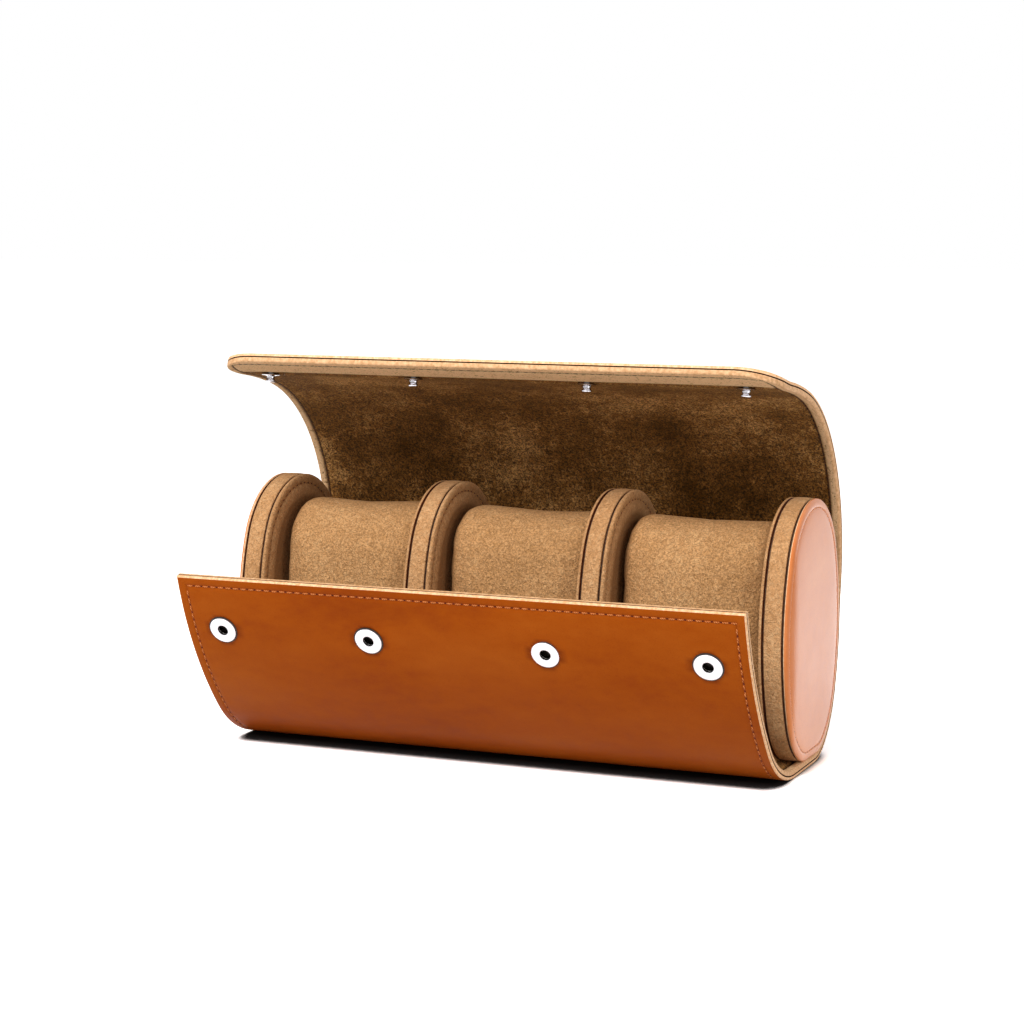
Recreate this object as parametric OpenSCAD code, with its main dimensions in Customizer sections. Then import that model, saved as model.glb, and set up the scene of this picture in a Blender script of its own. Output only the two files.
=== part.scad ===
// Travel case for three watches, shown open. X runs along the case, -Y is the front,
// +Z is up, and the origin is on the table under the middle of the compartments.
// One sheet (leather outside, suede inside, a thin interlining between) runs from the
// front flap under the case, up its back and over the top as the lid. It bends at folds,
// so it is made of stiff panels joined along those folds.

/* [Case] */
// Length of the wrap between its two ends
case_l = 200; // [170:1:260]

/* [Discs] */
// Depth of a disc from front to back
disc_w = 64; // [58:1:72]
// Height of a disc before its foot is cut flat
disc_h = 89; // [80:1:100]
// Radius of a disc's round top and lower corners
disc_round_r = 29; // [26:0.5:30]
// Depth of the flat cut at a disc's foot
foot_cut = 1.5; // [0.8:0.1:2.5]
// Radius between a disc's flat foot and its round corner
foot_r = 18; // [10:1:22]
// Width of the suede band round a disc's rim
rim_band_w = 6.5; // [4:0.5:10]
// Thickness of the suede band
rim_band_t = 0.8; // [0.5:0.1:1.5]
// Thickness of a suede facing with its card
facing_t = 1.6; // [1:0.1:2.5]
// Thickness of a cap's leather face at its edge
cap_face_t = 1.2; // [0.8:0.1:2]
// Rise of the padding in the middle of a cap's leather face
cap_pad_rise = 1.2; // [0.5:0.1:3]
// Width of the round shoulder of the padding
cap_pad_shoulder = 7; // [4:0.5:12]

/* [Wrap] */
// Thickness of the outer leather
leather_t = 1.2; // [0.8:0.1:1.6]
// Thickness of the interlining
interlining_t = 1; // [0.8:0.1:1.5]
// Thickness of the suede lining
lining_t = 0.8; // [0.5:0.1:1.2]
// Glue line between the wrap and the discs
glue_gap = 0.1; // [0.05:0.05:0.3]
// Gap between two panels at a fold
fold_gap = 0.3; // [0.2:0.05:0.6]

/* [Front flap] */
// Distance of the flap's lower fold in front of the middle
flap_fold_y = 18.1; // [14:0.1:22]
// Bend radius of the flap's lower panel
flap_bend_r = 38.4; // [34:0.2:44]
// Turn of the flap's lower panel in degrees
flap_bend_turn = 48.9; // [44:0.1:54]
// Length of the flap's upper panel
flap_panel_l = 56.4; // [50:0.2:62]
// Turn of the flap's upper panel in degrees
flap_panel_turn = 25.2; // [18:0.1:30]

/* [Lid] */
// Height of the lid's fold above the discs' middle, in degrees round the back
lid_fold_rise = 3.2; // [1:0.1:8]
// Direction in which the lid leaves the fold, in degrees from the table
lid_start_angle = 75; // [70:0.5:88]
// Length of the lid's rear panel
lid_rear_l = 53.5; // [48:0.5:58]
// Turn of the lid's rear panel in degrees
lid_rear_turn = 49; // [40:0.5:54]
// Length of the lid's top panel
lid_top_l = 42.4; // [36:0.2:48]
// Turn of the lid's top panel in degrees
lid_top_turn = 40; // [32:0.5:44]
// Length of the lid's front panel from its fold to the studs
lid_stud_l = 24; // [20:0.2:28]
// Turn of the lid's front panel as far as the studs in degrees
lid_stud_turn = 10; // [6:0.5:14]
// Length of the lid's front panel past the studs
lid_past_stud_l = 6; // [5:0.5:8]
// Length of the lip at the lid's free edge
lip_l = 10.5; // [8:0.5:16]
// Upward flare of the lip in degrees
lip_flare_angle = 22; // [8:1:30]
// Radius of the lip's two corners
lip_corner_r = 10; // [4:0.5:14]

/* [Snaps] */
// Distance of the two outer snaps from the wrap's ends
snap_end = 14; // [10:0.5:22]
// Distance between the two inner snaps
snap_inner_span = 62.8; // [40:0.2:100]
// Distance of the snap row from the flap's top edge
snap_edge = 19.5; // [14:0.5:26]
// Diameter of a socket's ring
ring_d = 9.6; // [8:0.2:12]
// Height of a socket's ring over the leather
ring_proud = 0.5; // [0.3:0.1:0.8]
// Depth to which rings and stud bases are pressed in
press_in = 0.3; // [0.1:0.1:0.5]
// Diameter of a socket's mouth
mouth_d = 3.8; // [3.6:0.1:4.4]
// Depth of a socket's cup under the leather's surface
cup_depth = 2; // [1.8:0.1:2.1]
// Wall of a socket's cup
cup_wall = 0.5; // [0.3:0.05:0.6]
// Diameter of a socket's spring wire
spring_wire_d = 0.5; // [0.3:0.05:0.6]
// Diameter of a stud's head
stud_head_d = 3.3; // [3:0.1:3.5]
// Height of a stud over the lining
stud_h = 2.6; // [2.2:0.1:2.8]
// Diameter of a stud's base
stud_base_d = 6.8; // [5:0.2:8]
// Height of a stud's base over the lining
stud_base_proud = 0.3; // [0.2:0.1:0.5]
// Diameter of the rivet shank in a stud
rivet_shank_d = 2; // [1.4:0.1:2.2]
// Thickness of a rivet's head and of a socket's washer
rivet_head_t = 0.4; // [0.3:0.05:0.5]
// Clearance round pressed and riveted snap pieces
snap_clear = 0.05; // [0.02:0.01:0.1]

/* [Pillows] */
// Depth of a pillow from front to back
pillow_w = 42; // [36:0.5:48]
// Height of a pillow
pillow_h = 80.5; // [70:0.5:84]
// Radius of a pillow's round top and bottom
pillow_round_r = 19; // [15:0.5:20]
// Gap between a pillow's end and a disc
pillow_end_gap = 1.2; // [0.5:0.1:3]
// Gap between a pillow and the lining under it
pillow_floor_gap = 0.3; // [0.3:0.1:1]
// Round at a pillow's two ends
pillow_end_r = 5; // [3:0.5:8]
// Drawn-in dip round the middle of a pillow
pillow_dip = 1; // [0:0.1:2]
// Thickness of a pillow's suede cover and wadding over its foam core
pillow_cover_t = 2.4; // [2:0.1:4]
// Clearance between the foam core and the cover
core_clear = 0.2; // [0.1:0.05:0.5]

/* [Hidden] */

leather_colour = [0.68, 0.33, 0.14];
cap_colour = [0.78, 0.42, 0.2];
suede_colour = [0.68, 0.51, 0.34];
dark_suede_colour = [0.5, 0.36, 0.22];
interlining_colour = [0.25, 0.22, 0.2];
card_colour = [0.55, 0.5, 0.42];
foam_colour = [0.85, 0.83, 0.75];
nickel_colour = [0.8, 0.8, 0.82];

// Turn in degrees of one straight step along a bend
bend_step = 4;
// The same for the pillows
pillow_step = 6;
// Facets round a hinge edge and round the snaps
fine = 48;
// A small overshoot for cuts
eps = 0.01;

wrap_t = leather_t + interlining_t + lining_t;
fold_r = wrap_t / 2;

// --- Paths: a point, a heading and a list of [length, turn] pieces -----------------

function arc_len(r, turn) = r * turn * PI / 180;
function arc_r(length, turn) = length * 180 / (PI * turn);

function path_end(p, h, seg) = seg[1] == 0
    ? p + seg[0] * [cos(h), sin(h)]
    : let (r = arc_r(seg[0], seg[1]))
      p + r * [sin(h + seg[1]) - sin(h), cos(h) - cos(h + seg[1])];

// Points of a path, each with the heading there
function walk(p, h, segs, step = bend_step, i = 0) = i == len(segs)
    ? [[p[0], p[1], h]]
    : let (seg = segs[i], n = max(1, ceil(abs(seg[1]) / step)))
      concat(
          [for (k = [0:n - 1])
              let (part = seg * k / n, q = path_end(p, h, part)) [q[0], q[1], h + part[1]]],
          walk(path_end(p, h, seg), h + seg[1], segs, step, i + 1));

// The path moved to the right of its travel by d
function beside(path, d) = [for (w = path) [w[0] + d * sin(w[2]), w[1] - d * cos(w[2])]];

function reversed(list) = [for (i = [len(list) - 1:-1:0]) list[i]];

module band(path, d0, d1) {
    polygon(concat(beside(path, d0), reversed(beside(path, d1))));
}

module along_x(x0, length) {
    translate([x0, 0, 0]) rotate([90, 0, 90]) linear_extrude(length) children();
}

// Puts children on a path point, with their +Z to the left of its travel
module on_path(p, h) {
    translate([0, p[0], p[1]]) rotate([h, 0, 0]) children();
}

// --- Outline of the discs: flat foot, round corners, slightly bulging sides ---------

function side_r(a, b, r) = (a * a + (b - r) * (b - r) - r * r) / (2 * (a - r));
function side_turn(a, b, r) = atan2(b - r, side_r(a, b, r) - a);

disc_a = disc_w / 2;
disc_b = disc_h / 2;
disc_side_r = side_r(disc_a, disc_b, disc_round_r);
disc_side_turn = side_turn(disc_a, disc_b, disc_round_r);
foot_turn = acos((disc_round_r - foot_cut - foot_r) / (disc_round_r - foot_r));
foot_half = (disc_round_r - foot_r) * sin(foot_turn);
foot_z = wrap_t + glue_gap;
disc_z = foot_z + disc_b - foot_cut;

// From the end of the flat foot up to the widest point
rise_segs = [
    [arc_len(foot_r, foot_turn), foot_turn],
    [arc_len(disc_round_r, 90 - disc_side_turn - foot_turn), 90 - disc_side_turn - foot_turn],
    [arc_len(disc_side_r, disc_side_turn), disc_side_turn]
];
top_segs = [
    [arc_len(disc_side_r, disc_side_turn), disc_side_turn],
    [arc_len(disc_round_r, 180 - 2 * disc_side_turn), 180 - 2 * disc_side_turn],
    [arc_len(disc_side_r, disc_side_turn), disc_side_turn]
];
disc_path = walk([foot_half, foot_z], 0, concat(rise_segs, top_segs, reversed(rise_segs)));

module disc(x0, thickness, inset = 0) {
    along_x(x0, thickness) polygon(beside(disc_path, -inset));
}

module rim_band(x0) {
    color(suede_colour) difference() {
        disc(x0, rim_band_w);
        disc(x0 - eps, rim_band_w + 2 * eps, rim_band_t);
    }
}

module core_board(x0) {
    color(card_colour) disc(x0, rim_band_w, rim_band_t);
}

module facing(x0) {
    color(suede_colour) disc(x0, facing_t);
}

cap_t = facing_t + rim_band_w + cap_face_t;
divider_t = rim_band_w + 2 * facing_t;
compartment_w = (case_l - 2 * cap_t - 2 * divider_t) / 3;
divider_x = (compartment_w + divider_t) / 2;
right_cap_x = case_l / 2 - cap_t;

// A closed skin through rings of points, from a first point to a last one
module loft(rings, first, last) {
    n = len(rings[0]);
    m = len(rings);
    sides = [for (i = [0:m - 2], j = [0:n - 1]) let (a = i * n + j, b = i * n + (j + 1) % n)
        each [[a, a + n, b], [b, a + n, b + n]]];
    ends = [for (j = [0:n - 1]) let (k = (j + 1) % n)
        each [[j, k, m * n], [(m - 1) * n + k, (m - 1) * n + j, m * n + 1]]];
    polyhedron(concat([for (ring = rings) each ring], [first, last]), concat(sides, ends));
}

// The padded leather face of the right cap, flat where it meets the core
module padded_face() {
    x0 = case_l / 2 - cap_face_t;
    x1 = case_l / 2;
    n = len(disc_path);
    rings = concat([[0, 0]], [for (t = [0:22.5:90])
        [cap_face_t + cap_pad_rise * sin(t), cap_pad_shoulder * (1 - cos(t))]]);
    color(cap_colour) loft([for (ring = rings)
        [for (w = beside(disc_path, -ring[1])) [x0 + ring[0], w[0], w[1]]]],
        [x0, 0, disc_z], [x1 + cap_pad_rise, 0, disc_z]);
}

// --- Wrap ----------------------------------------------------------------------------

// Layers as distances from the wrap's middle surface towards its outside
leather_span = [fold_r - leather_t, fold_r];
interlining_span = [lining_t - fold_r, fold_r - leather_t];
lining_span = [-fold_r, lining_t - fold_r];

wrap_mid = glue_gap + fold_r;
back_r = disc_side_r + wrap_mid;

// Fold axes, in the plane across the case
flap_fold = [-flap_fold_y, fold_r];
flap_bend_seg = [arc_len(flap_bend_r, flap_bend_turn), -flap_bend_turn];
flap_bend = path_end(flap_fold, 180, flap_bend_seg);
flap_bend_h = 180 - flap_bend_turn;
flap_panel_seg = [flap_panel_l, -flap_panel_turn];

lid_fold = [disc_a - disc_side_r, disc_z] + back_r * [cos(lid_fold_rise), sin(lid_fold_rise)];
lid_rear_seg = [lid_rear_l, lid_rear_turn];
lid_crown_fold = path_end(lid_fold, lid_start_angle, lid_rear_seg);
lid_top_h = lid_start_angle + lid_rear_turn;
lid_top_seg = [lid_top_l, lid_top_turn];
lid_brow_fold = path_end(lid_crown_fold, lid_top_h, lid_top_seg);
lid_front_h = lid_top_h + lid_top_turn;
lid_front_seg = [lid_stud_l, lid_stud_turn] * (lid_stud_l + lid_past_stud_l) / lid_stud_l;
lip_fold = path_end(lid_brow_fold, lid_front_h, lid_front_seg);
lip_h = lid_front_h + lid_front_seg[1] - lip_flare_angle;

// One layer of a panel that starts with a round edge on its fold axis at p. trim is cut
// off its far end to leave room for the next fold, and out is 1 where the wrap's outside
// is to the right of the path's travel and -1 where it is to the left.
module panel_layer(p, h, seg, span, out, trim) {
    part = seg * (seg[0] - trim) / seg[0];
    path = walk(p, h, [part]);
    lead = walk(p - fold_r * [cos(h), sin(h)], h, [[fold_r, 0], part]);
    along_x(-case_l / 2, case_l) intersection() {
        band(lead, out * span[0], out * span[1]);
        union() {
            translate(p) circle(fold_r, $fn = fine);
            band(path, -fold_r, fold_r);
        }
    }
}

next_fold = fold_r + fold_gap;

module flap_lower(span) {
    panel_layer(flap_fold, 180, flap_bend_seg, span, -1, next_fold);
}

module flap_upper(span) {
    panel_layer(flap_bend, flap_bend_h, flap_panel_seg, span, -1, 0);
}

module lid_rear(span) {
    panel_layer(lid_fold, lid_start_angle, lid_rear_seg, span, 1, next_fold);
}

module lid_top(span) {
    panel_layer(lid_crown_fold, lid_top_h, lid_top_seg, span, 1, next_fold);
}

module lid_front(span) {
    panel_layer(lid_brow_fold, lid_front_h, lid_front_seg, span, 1, next_fold);
}

module lip(span) {
    difference() {
        panel_layer(lip_fold, lip_h, [lip_l, 0], span, 1, 0);
        for (side = [-1, 1]) lip_corner_cut(side);
    }
}

// A corner's round ends before the lip's round fold edge starts
module lip_corner_cut(side) {
    r = min(lip_corner_r, lip_l - fold_gap);
    on_path(path_end(lip_fold, lip_h, [lip_l, 0]), lip_h)
        translate([side * (case_l / 2 - r), -r, -wrap_t]) difference() {
            translate([side > 0 ? 0 : -r - eps, 0, 0])
                cube([r + eps, r + eps, 2 * wrap_t]);
            translate([0, 0, -eps]) cylinder(r = r, h = 2 * wrap_t + 2 * eps, $fn = fine);
        }
}

// The fixed part of the wrap: flat under the case and glued up the back of the discs,
// as far as the fold of the lid
module base(span) {
    flat_start = next_fold - flap_fold_y;
    fold_trim = next_fold * 180 / (PI * back_r);
    up_turn = lid_fold_rise - fold_trim;
    path = walk([flat_start, foot_z], 0, concat([[foot_half - flat_start, 0]], rise_segs,
        [[arc_len(disc_side_r, up_turn), up_turn]]));
    along_x(-case_l / 2, case_l) band(path, wrap_mid + span[0], wrap_mid + span[1]);
}

// --- Snaps: sockets on the outside of the flap, studs on the inside of the lid ---------

outer_snap_x = case_l / 2 - snap_end;
inner_snap_x = snap_inner_span / 2;
snap_places = [-outer_snap_x, -inner_snap_x, inner_snap_x, outer_snap_x];
socket_part = flap_panel_seg * (flap_panel_l - snap_edge) / flap_panel_l;
socket_p = path_end(flap_bend, flap_bend_h, socket_part);
socket_h = flap_bend_h + socket_part[1];
stud_p = path_end(lid_brow_fold, lid_front_h, [lid_stud_l, lid_stud_turn]);
stud_h_dir = lid_front_h + lid_stud_turn;

ring_z = fold_r - press_in;
ring_top = fold_r + ring_proud;
cup_floor = fold_r - cup_depth;
mouth_r = mouth_d / 2;
cup_r = mouth_r + spring_wire_d;
barrel_r = cup_r + cup_wall;
washer_r = barrel_r + 1.2;
ring_round = 0.3;
base_z = fold_r - press_in;
// The leather behind a rivet's flat head curves towards it, which the seat allows for
stud_bend_r = arc_r(lid_stud_l, lid_stud_turn);
rivet_seat = leather_t - fold_r + snap_clear + pow(stud_base_d / 2, 2) / stud_bend_r;
shank_r = rivet_shank_d / 2;
shank_top = fold_r + stud_base_proud + 0.8;

module at_sockets() {
    for (x = snap_places) translate([x, 0, 0]) on_path(socket_p, socket_h) children();
}

module at_studs() {
    for (x = snap_places) translate([x, 0, 0]) on_path(stud_p, stud_h_dir) children();
}

module socket() {
    rotate_extrude($fn = fine) union() {
        difference() {
            translate([mouth_r, ring_z]) square([ring_d / 2 - mouth_r, ring_top - ring_z]);
            translate([ring_d / 2 - ring_round, ring_top - ring_round]) difference() {
                square(ring_round + eps);
                circle(ring_round, $fn = fine);
            }
        }
        translate([cup_r, cup_floor]) square([cup_wall, ring_z - cup_floor + eps]);
        translate([0, lining_t - fold_r]) square([barrel_r, cup_floor - lining_t + fold_r]);
    }
}

module spring_ring() {
    ring_mid = mouth_r + spring_wire_d / 2 - snap_clear;
    rotate_extrude($fn = fine) translate([ring_mid, ring_z - spring_wire_d / 2 - snap_clear])
        circle(d = spring_wire_d, $fn = 16);
}

module washer() {
    translate([0, 0, lining_t - fold_r]) difference() {
        cylinder(r = washer_r, h = rivet_head_t, $fn = fine);
        translate([0, 0, -eps]) cylinder(r = barrel_r + snap_clear, h = rivet_head_t + 2 * eps,
            $fn = fine);
    }
}

module stud() {
    head_r = stud_head_d / 2;
    neck_r = head_r - 0.25;
    neck_top = fold_r + stud_h - 1;
    rotate_extrude($fn = fine) difference() {
        polygon([[0, base_z], [stud_base_d / 2, base_z],
            [stud_base_d / 2, fold_r + stud_base_proud - 0.15],
            [stud_base_d / 2 - 0.3, fold_r + stud_base_proud],
            [neck_r, fold_r + stud_base_proud], [neck_r, neck_top],
            [head_r, neck_top + 0.3], [head_r, fold_r + stud_h - 0.4],
            [head_r - 0.4, fold_r + stud_h], [0, fold_r + stud_h]]);
        translate([-eps, base_z - eps])
            square([shank_r + snap_clear + eps, shank_top + snap_clear - base_z + eps]);
    }
}

module rivet() {
    translate([0, 0, rivet_seat]) cylinder(r = stud_base_d / 2 - 0.2, h = rivet_head_t, $fn = fine);
    translate([0, 0, rivet_seat + rivet_head_t - eps])
        cylinder(r = shank_r, h = shank_top - rivet_seat - rivet_head_t + eps, $fn = fine);
}

module bore(r, z0, z1) {
    translate([0, 0, z0]) cylinder(r = r, h = z1 - z0, $fn = fine);
}

// --- Pillows -----------------------------------------------------------------------------

pillow_a = pillow_w / 2;
pillow_b = pillow_h / 2;
pillow_l = compartment_w - 2 * pillow_end_gap;
pillow_z = foot_z - glue_gap + pillow_floor_gap + pillow_b;

// An oval of four arcs about the pillow's middle, drawn in by e
function oval_path(e) =
    let (a = pillow_a - e, b = pillow_b - e, r = pillow_round_r - e,
        big_r = side_r(pillow_a, pillow_b, pillow_round_r) - e,
        t = side_turn(pillow_a, pillow_b, pillow_round_r))
    walk([a, pillow_z], 90, [
        [arc_len(big_r, t), t], [arc_len(r, 180 - 2 * t), 180 - 2 * t],
        [arc_len(big_r, 2 * t), 2 * t], [arc_len(r, 180 - 2 * t), 180 - 2 * t],
        [arc_len(big_r, t), t]], pillow_step);

function oval_ring(e) = let (w = oval_path(e)) [for (i = [0:len(w) - 2]) [w[i][0], w[i][1]]];

// How far the pillow is drawn in at u, from 0 in its middle to 1 at its end
function draw_in(u) =
    let (from_end = (1 - u) * pillow_l / 2, k = max(0, 1 - from_end / pillow_end_r))
    pillow_dip * pow(cos(90 * u), 2) + pillow_end_r * (1 - sqrt(1 - k * k));

pillow_us = [for (i = [-3:3]) i / 3 * (1 - 2 * pillow_end_r / pillow_l)];
end_us = [for (k = [0.35, 0.65, 0.87, 1]) 1 - (1 - k) * 2 * pillow_end_r / pillow_l];
ring_us = concat([for (u = reversed(end_us)) -u], pillow_us, end_us);

module pillow_form(x) {
    loft([for (u = ring_us) [for (q = oval_ring(draw_in(abs(u)))) [x + u * pillow_l / 2, q[0], q[1]]]],
        [x - pillow_l / 2, 0, pillow_z], [x + pillow_l / 2, 0, pillow_z]);
}

module core_form(x, clear) {
    half = pillow_l / 2 - pillow_end_r - clear;
    along_x(x - half, 2 * half) polygon(oval_ring(pillow_dip + pillow_cover_t + clear));
}

module pillow(x) {
    color(suede_colour) difference() {
        pillow_form(x);
        core_form(x, 0);
    }
}

module pillow_core(x) {
    color(foam_colour) core_form(x, core_clear);
}

pillow_pitch = compartment_w + divider_t;

// --- Sub-parts ----------------------------------------------------------------------------

module base_leather() { color(leather_colour) base(leather_span); }
module base_interlining() { color(interlining_colour) base(interlining_span); }
module base_lining() { color(dark_suede_colour) base(lining_span); }

module flap_lower_leather() { color(leather_colour) flap_lower(leather_span); }
module flap_lower_interlining() { color(interlining_colour) flap_lower(interlining_span); }
module flap_lower_lining() { color(dark_suede_colour) flap_lower(lining_span); }

module flap_upper_leather() {
    color(leather_colour) difference() {
        flap_upper(leather_span);
        at_sockets() {
            bore(barrel_r + snap_clear, fold_r - leather_t - 1, fold_r + 1);
            bore(ring_d / 2 + snap_clear, ring_z, fold_r + 1);
        }
    }
}

module flap_upper_interlining() {
    color(interlining_colour) difference() {
        flap_upper(interlining_span);
        at_sockets() bore(washer_r + snap_clear, -wrap_t, wrap_t);
    }
}

module flap_upper_lining() { color(dark_suede_colour) flap_upper(lining_span); }

module lid_rear_leather() { color(leather_colour) lid_rear(leather_span); }
module lid_rear_interlining() { color(interlining_colour) lid_rear(interlining_span); }
module lid_rear_lining() { color(dark_suede_colour) lid_rear(lining_span); }
module lid_top_leather() { color(leather_colour) lid_top(leather_span); }
module lid_top_interlining() { color(interlining_colour) lid_top(interlining_span); }
module lid_top_lining() { color(dark_suede_colour) lid_top(lining_span); }
module lid_front_leather() { color(leather_colour) lid_front(leather_span); }

module lid_front_interlining() {
    color(interlining_colour) difference() {
        lid_front(interlining_span);
        at_studs() {
            bore(stud_base_d / 2, rivet_seat - 1, rivet_seat + rivet_head_t + snap_clear);
            bore(shank_r + snap_clear, rivet_seat - 1, wrap_t);
        }
    }
}

module lid_front_lining() {
    color(dark_suede_colour) difference() {
        lid_front(lining_span);
        at_studs() {
            bore(shank_r + snap_clear, -wrap_t, wrap_t);
            bore(stud_base_d / 2 + snap_clear, base_z, wrap_t);
        }
    }
}

module lid_lip_leather() { color(leather_colour) lip(leather_span); }
module lid_lip_interlining() { color(interlining_colour) lip(interlining_span); }
module lid_lip_lining() { color(dark_suede_colour) lip(lining_span); }

module right_cap_facing() { facing(right_cap_x); }
module right_cap_core() { core_board(right_cap_x + facing_t); }
module right_cap_rim_band() { rim_band(right_cap_x + facing_t); }
module right_cap_leather_face() { padded_face(); }
module left_cap_facing() { mirror([1, 0, 0]) right_cap_facing(); }
module left_cap_core() { mirror([1, 0, 0]) right_cap_core(); }
module left_cap_rim_band() { mirror([1, 0, 0]) right_cap_rim_band(); }
module left_cap_leather_face() { mirror([1, 0, 0]) padded_face(); }

module divider_left_facing(x) { facing(x - divider_t / 2); }
module divider_core(x) { core_board(x - rim_band_w / 2); }
module divider_rim_band(x) { rim_band(x - rim_band_w / 2); }
module divider_right_facing(x) { facing(x + rim_band_w / 2); }

module snap_sockets() { color(nickel_colour) at_sockets() socket(); }
module snap_springs() { color(nickel_colour) at_sockets() spring_ring(); }
module snap_washers() { color(nickel_colour) at_sockets() washer(); }
module snap_studs() { color(nickel_colour) at_studs() stud(); }
module snap_rivets() { color(nickel_colour) at_studs() rivet(); }

base_leather();
base_interlining();
base_lining();
flap_lower_leather();
flap_lower_interlining();
flap_lower_lining();
flap_upper_leather();
flap_upper_interlining();
flap_upper_lining();
lid_rear_leather();
lid_rear_interlining();
lid_rear_lining();
lid_top_leather();
lid_top_interlining();
lid_top_lining();
lid_front_leather();
lid_front_interlining();
lid_front_lining();
lid_lip_leather();
lid_lip_interlining();
lid_lip_lining();
left_cap_core();
left_cap_rim_band();
left_cap_facing();
left_cap_leather_face();
right_cap_core();
right_cap_rim_band();
right_cap_facing();
right_cap_leather_face();
divider_core(-divider_x);  // left_divider_core
divider_rim_band(-divider_x);  // left_divider_rim_band
divider_left_facing(-divider_x);  // left_divider_left_facing
divider_right_facing(-divider_x);  // left_divider_right_facing
divider_core(divider_x);  // right_divider_core
divider_rim_band(divider_x);  // right_divider_rim_band
divider_left_facing(divider_x);  // right_divider_left_facing
divider_right_facing(divider_x);  // right_divider_right_facing
snap_sockets();
snap_springs();
snap_washers();
snap_studs();
snap_rivets();
pillow(-pillow_pitch);  // left_pillow
pillow_core(-pillow_pitch);  // left_pillow_core
pillow(0);  // middle_pillow
pillow_core(0);  // middle_pillow_core
pillow(pillow_pitch);  // right_pillow
pillow_core(pillow_pitch);  // right_pillow_core
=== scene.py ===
"""Looks for the travel case: a leather roll with a suede lining, discs, pillows and snaps.

Sizes are in millimetres, as in the part's source, and become metres when a piece is placed.
"""
import contextlib
import math

import bpy
import numpy as np
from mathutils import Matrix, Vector


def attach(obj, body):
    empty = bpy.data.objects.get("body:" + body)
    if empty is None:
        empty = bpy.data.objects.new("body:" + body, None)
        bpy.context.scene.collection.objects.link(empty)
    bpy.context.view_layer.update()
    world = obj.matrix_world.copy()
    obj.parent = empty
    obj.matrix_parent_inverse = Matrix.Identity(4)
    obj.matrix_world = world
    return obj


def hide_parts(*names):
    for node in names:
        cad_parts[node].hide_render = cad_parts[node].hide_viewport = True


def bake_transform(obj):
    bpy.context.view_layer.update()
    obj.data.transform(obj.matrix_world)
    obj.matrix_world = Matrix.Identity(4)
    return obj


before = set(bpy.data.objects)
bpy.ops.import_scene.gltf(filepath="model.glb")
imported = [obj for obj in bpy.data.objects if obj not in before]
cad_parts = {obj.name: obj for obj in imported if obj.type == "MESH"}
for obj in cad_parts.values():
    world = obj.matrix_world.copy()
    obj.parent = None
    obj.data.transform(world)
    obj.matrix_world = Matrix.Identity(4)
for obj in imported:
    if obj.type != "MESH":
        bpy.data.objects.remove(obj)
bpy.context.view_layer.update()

MM = 0.001


# --- Camera and light ---

CAMERA_PLACE = (317.9, -777.6, 188.3)
CAMERA_AIM = (-8.9, 0.0, 80.8)
CAMERA_LENS = 85.51
SENSOR = 36.0

# Each lamp's name, its place and what it looks at, its width and height, and its power
LAMPS = [
    ("key", (-120, -680, 680), (0, 0, 50), 480, 480, 8.0),
    ("right_box", (900, -250, 260), (60, 0, 50), 260, 700, 2.5),
]

# How white the floor and the world look, and how much light they give the case
FLOOR_SEEN = 2.3
# The painted contact shade on the floor: its level, and the reach of the ambient occlusion that
# sets it
FLOOR_SHADE = 0.03
FLOOR_SHADE_REACH = 8.0
FLOOR_DULL = 0.6
WORLD_SEEN = 1.0
WORLD_LIGHT = 0.5


def aim(obj, place, target):
    """Puts a camera or lamp at place, looking at target, both in mm."""
    obj.location = Vector(place) * MM
    obj.rotation_euler = (Vector(target) - Vector(place)).to_track_quat("-Z", "Y").to_euler()


def make_camera():
    bpy.ops.object.camera_add()
    camera = bpy.context.object
    camera.data.lens = CAMERA_LENS
    camera.data.sensor_width = SENSOR
    camera.data.clip_start = 0.01
    aim(camera, CAMERA_PLACE, CAMERA_AIM)
    bpy.context.scene.camera = camera


def make_lamp(name, place, target, width, height, watts):
    bpy.ops.object.light_add(type="AREA")
    lamp = bpy.context.object
    lamp.name = name
    lamp.data.shape = "RECTANGLE"
    lamp.data.size = width * MM
    lamp.data.size_y = height * MM
    lamp.data.energy = watts
    aim(lamp, place, target)


# --- Materials ---

# How much a surface without any polish mirrors
MATT = 0.12


def srgb(red, green, blue):
    """A colour as seen on a screen, 0 to 255, as the shader wants it."""
    def linear(level):
        level /= 255.0
        return level / 12.92 if level < 0.04045 else ((level + 0.055) / 1.055) ** 2.4
    return (linear(red), linear(green), linear(blue), 1.0)


def feed(tree, socket, value):
    """Links the socket to an output, or sets it to a value."""
    if isinstance(value, bpy.types.NodeSocket):
        tree.links.new(value, socket)
    else:
        socket.default_value = value


def add_node(tree, kind, settings=(), **sockets):
    """A node of this kind, with its settings, and its sockets fed."""
    node = tree.nodes.new(kind)
    for name, value in dict(settings).items():
        setattr(node, name, value)
    for name, value in sockets.items():
        feed(tree, node.inputs[name.replace("_", " ")], value)
    return node


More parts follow.
